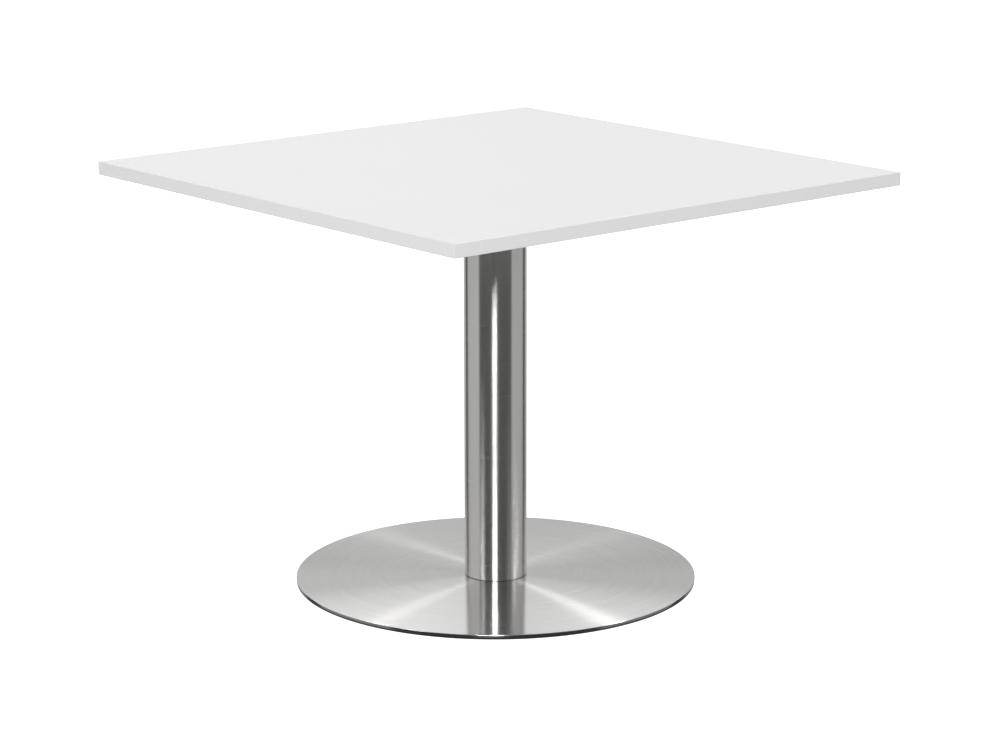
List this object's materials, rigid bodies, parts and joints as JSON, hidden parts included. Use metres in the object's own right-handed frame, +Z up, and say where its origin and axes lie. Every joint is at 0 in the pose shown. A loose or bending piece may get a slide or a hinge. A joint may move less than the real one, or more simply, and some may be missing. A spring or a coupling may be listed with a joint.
{
  "type": "bistro table",
  "caption": "Square white laminate table top on a round brushed-steel column and a flat round brushed-steel base with levelling glides.",
  "frame": {"origin": "on the floor under the middle of the column, at the bottom centre of the object's box", "axes": "+Z up along the column, +X and +Y along the sides of the square top"},
  "size_m": [1, 1, 0.7536],
  "materials": {
    "white_laminate": "satin",
    "backer_laminate": "matte",
    "white_edging": "satin",
    "particle_board": "matte",
    "brushed_stainless": "satin",
    "brushed_stainless_disc": "satin",
    "black_steel": "satin",
    "zinc_steel": "satin",
    "brass": "satin",
    "black_plastic": "matte",
    "glide_plastic": "matte"
  },
  "bodies": {
    "table": {"top_laminate": "white_laminate", "top_backer": "backer_laminate", "edge_band_front": "white_edging", "edge_band_back": "white_edging", "edge_band_left": "white_edging", "edge_band_right": "white_edging", "top_core": "particle_board", "top_inserts": "brass", "arm_screws": "zinc_steel", "head_plate": "black_steel", "upper_spigot": "black_steel", "tie_rod": "zinc_steel", "rod_washer": "zinc_steel", "rod_nut": "zinc_steel", "column_tube": "brushed_stainless", "column_gasket": "black_plastic", "foot_hub": "zinc_steel", "hub_screws": "zinc_steel", "base_cover": "brushed_stainless_disc", "base_weight": "black_steel", "edge_protector": "black_plastic", "support_arm_1": "black_steel", "support_arm_2": "black_steel", "support_arm_3": "black_steel", "support_arm_4": "black_steel"},
    "pad_1": {"glide_pad_1": "glide_plastic"},
    "stud_1": {"glide_stud_1": "zinc_steel"},
    "pad_2": {"glide_pad_2": "glide_plastic"},
    "stud_2": {"glide_stud_2": "zinc_steel"},
    "pad_3": {"glide_pad_3": "glide_plastic"},
    "stud_3": {"glide_stud_3": "zinc_steel"},
    "pad_4": {"glide_pad_4": "glide_plastic"},
    "stud_4": {"glide_stud_4": "zinc_steel"}
  },
  "joints": [
    {"name": "glide_height_1", "type": "slide", "parent": "table", "child": "pad_1", "axis": [0, 0, -1], "range_m": [0, 0.0025]},
    {"name": "stud_turn_1", "type": "hinge", "parent": "pad_1", "child": "stud_1", "pos_m": [0.21213, 0.21213, 0], "axis": [0, 0, -1], "range_deg": [0, 900]},
    {"name": "glide_height_2", "type": "slide", "parent": "table", "child": "pad_2", "axis": [0, 0, -1], "range_m": [0, 0.0025]},
    {"name": "stud_turn_2", "type": "hinge", "parent": "pad_2", "child": "stud_2", "pos_m": [-0.21213, 0.21213, 0], "axis": [0, 0, -1], "range_deg": [0, 900]},
    {"name": "glide_height_3", "type": "slide", "parent": "table", "child": "pad_3", "axis": [0, 0, -1], "range_m": [0, 0.0025]},
    {"name": "stud_turn_3", "type": "hinge", "parent": "pad_3", "child": "stud_3", "pos_m": [-0.21213, -0.21213, 0], "axis": [0, 0, -1], "range_deg": [0, 900]},
    {"name": "glide_height_4", "type": "slide", "parent": "table", "child": "pad_4", "axis": [0, 0, -1], "range_m": [0, 0.0025]},
    {"name": "stud_turn_4", "type": "hinge", "parent": "pad_4", "child": "stud_4", "pos_m": [0.21213, -0.21213, 0], "axis": [0, 0, -1], "range_deg": [0, 900]}
  ],
  "couplings": [
    {"joint": "stud_turn_1", "follows": "glide_height_1", "rad_per_m": 6283.2},
    {"joint": "stud_turn_2", "follows": "glide_height_2", "rad_per_m": 6283.2},
    {"joint": "stud_turn_3", "follows": "glide_height_3", "rad_per_m": 6283.2},
    {"joint": "stud_turn_4", "follows": "glide_height_4", "rad_per_m": 6283.2}
  ]
}
